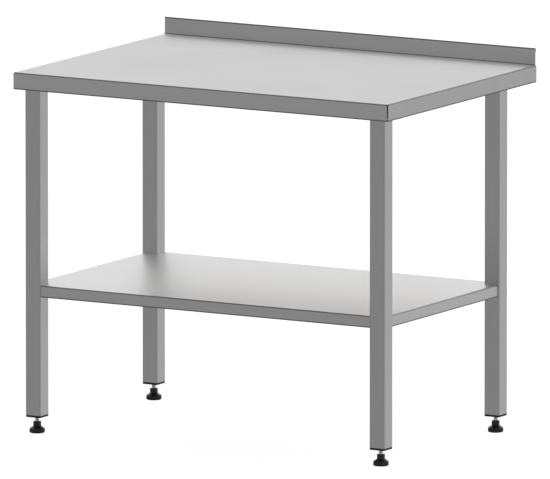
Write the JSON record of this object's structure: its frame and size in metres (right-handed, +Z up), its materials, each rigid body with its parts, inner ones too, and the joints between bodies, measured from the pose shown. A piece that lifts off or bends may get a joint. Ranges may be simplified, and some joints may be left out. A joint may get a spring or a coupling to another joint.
{
  "type": "work table",
  "caption": "Stainless steel work table with a rear upstand, folded apron edges, square tube legs, a notched undershelf and black screw-adjustable levelling feet.",
  "frame": {"origin": "on the floor at the centre of the table's footprint, with the feet at the height they are shown at", "axes": "+X along the length to the right of a person working at the table, +Y from the working side to the wall side with the upstand, +Z up"},
  "size_m": [1, 0.7, 0.89],
  "materials": {
    "stainless_sheet": "satin",
    "stainless_tube": "satin",
    "stainless_channel": "satin",
    "bright_steel": "polished",
    "board": "matte",
    "black_nylon": "satin",
    "black_rubber": "matte"
  },
  "bodies": {
    "table": {"worktop_skin": "stainless_sheet", "worktop_board": "board", "rear_closing_strip": "stainless_sheet", "worktop_centre_channel": "stainless_channel", "frame_rail_front": "stainless_tube", "frame_rail_rear": "stainless_tube", "frame_rail_left": "stainless_tube", "frame_rail_right": "stainless_tube", "worktop_fixing_brackets": "stainless_channel", "worktop_fixing_screws": "bright_steel", "leg_front_left": "stainless_tube", "leg_front_right": "stainless_tube", "leg_rear_left": "stainless_tube", "leg_rear_right": "stainless_tube", "shelf_panel": "stainless_sheet", "shelf_channel": "stainless_channel", "shelf_brackets": "stainless_channel", "shelf_studs": "bright_steel", "shelf_nuts": "bright_steel", "leg_insert_front_left": "black_nylon", "thread_bush_front_left": "bright_steel", "leg_insert_front_right": "black_nylon", "thread_bush_front_right": "bright_steel", "leg_insert_rear_left": "black_nylon", "thread_bush_rear_left": "bright_steel", "leg_insert_rear_right": "black_nylon", "thread_bush_rear_right": "bright_steel"},
    "foot_front_left": {"foot_base_front_left": "black_nylon", "foot_pad_front_left": "black_rubber"},
    "spindle_front_left": {"foot_spindle_front_left": "bright_steel", "foot_collar_front_left": "black_nylon"},
    "foot_front_right": {"foot_base_front_right": "black_nylon", "foot_pad_front_right": "black_rubber"},
    "spindle_front_right": {"foot_spindle_front_right": "bright_steel", "foot_collar_front_right": "black_nylon"},
    "foot_rear_left": {"foot_base_rear_left": "black_nylon", "foot_pad_rear_left": "black_rubber"},
    "spindle_rear_left": {"foot_spindle_rear_left": "bright_steel", "foot_collar_rear_left": "black_nylon"},
    "foot_rear_right": {"foot_base_rear_right": "black_nylon", "foot_pad_rear_right": "black_rubber"},
    "spindle_rear_right": {"foot_spindle_rear_right": "bright_steel", "foot_collar_rear_right": "black_nylon"}
  },
  "joints": [
    {"name": "foot_travel_front_left", "type": "slide", "parent": "table", "child": "foot_front_left", "axis": [0, 0, -1], "range_m": [-0.01, 0.025]},
    {"name": "spindle_turn_front_left", "type": "hinge", "parent": "foot_front_left", "child": "spindle_front_left", "pos_m": [-0.46, -0.31, 0.0095], "axis": [0, 0, -1], "range_deg": [-2401, 6001]},
    {"name": "foot_travel_front_right", "type": "slide", "parent": "table", "child": "foot_front_right", "axis": [0, 0, -1], "range_m": [-0.01, 0.025]},
    {"name": "spindle_turn_front_right", "type": "hinge", "parent": "foot_front_right", "child": "spindle_front_right", "pos_m": [0.46, -0.31, 0.0095], "axis": [0, 0, -1], "range_deg": [-2401, 6001]},
    {"name": "foot_travel_rear_left", "type": "slide", "parent": "table", "child": "foot_rear_left", "axis": [0, 0, -1], "range_m": [-0.01, 0.025]},
    {"name": "spindle_turn_rear_left", "type": "hinge", "parent": "foot_rear_left", "child": "spindle_rear_left", "pos_m": [-0.46, 0.23, 0.0095], "axis": [0, 0, -1], "range_deg": [-2401, 6001]},
    {"name": "foot_travel_rear_right", "type": "slide", "parent": "table", "child": "foot_rear_right", "axis": [0, 0, -1], "range_m": [-0.01, 0.025]},
    {"name": "spindle_turn_rear_right", "type": "hinge", "parent": "foot_rear_right", "child": "spindle_rear_right", "pos_m": [0.46, 0.23, 0.0095], "axis": [0, 0, -1], "range_deg": [-2401, 6001]}
  ],
  "couplings": [
    {"joint": "spindle_turn_front_left", "follows": "foot_travel_front_left", "rad_per_m": 4188.8},
    {"joint": "spindle_turn_front_right", "follows": "foot_travel_front_right", "rad_per_m": 4188.8},
    {"joint": "spindle_turn_rear_left", "follows": "foot_travel_rear_left", "rad_per_m": 4188.8},
    {"joint": "spindle_turn_rear_right", "follows": "foot_travel_rear_right", "rad_per_m": 4188.8}
  ]
}
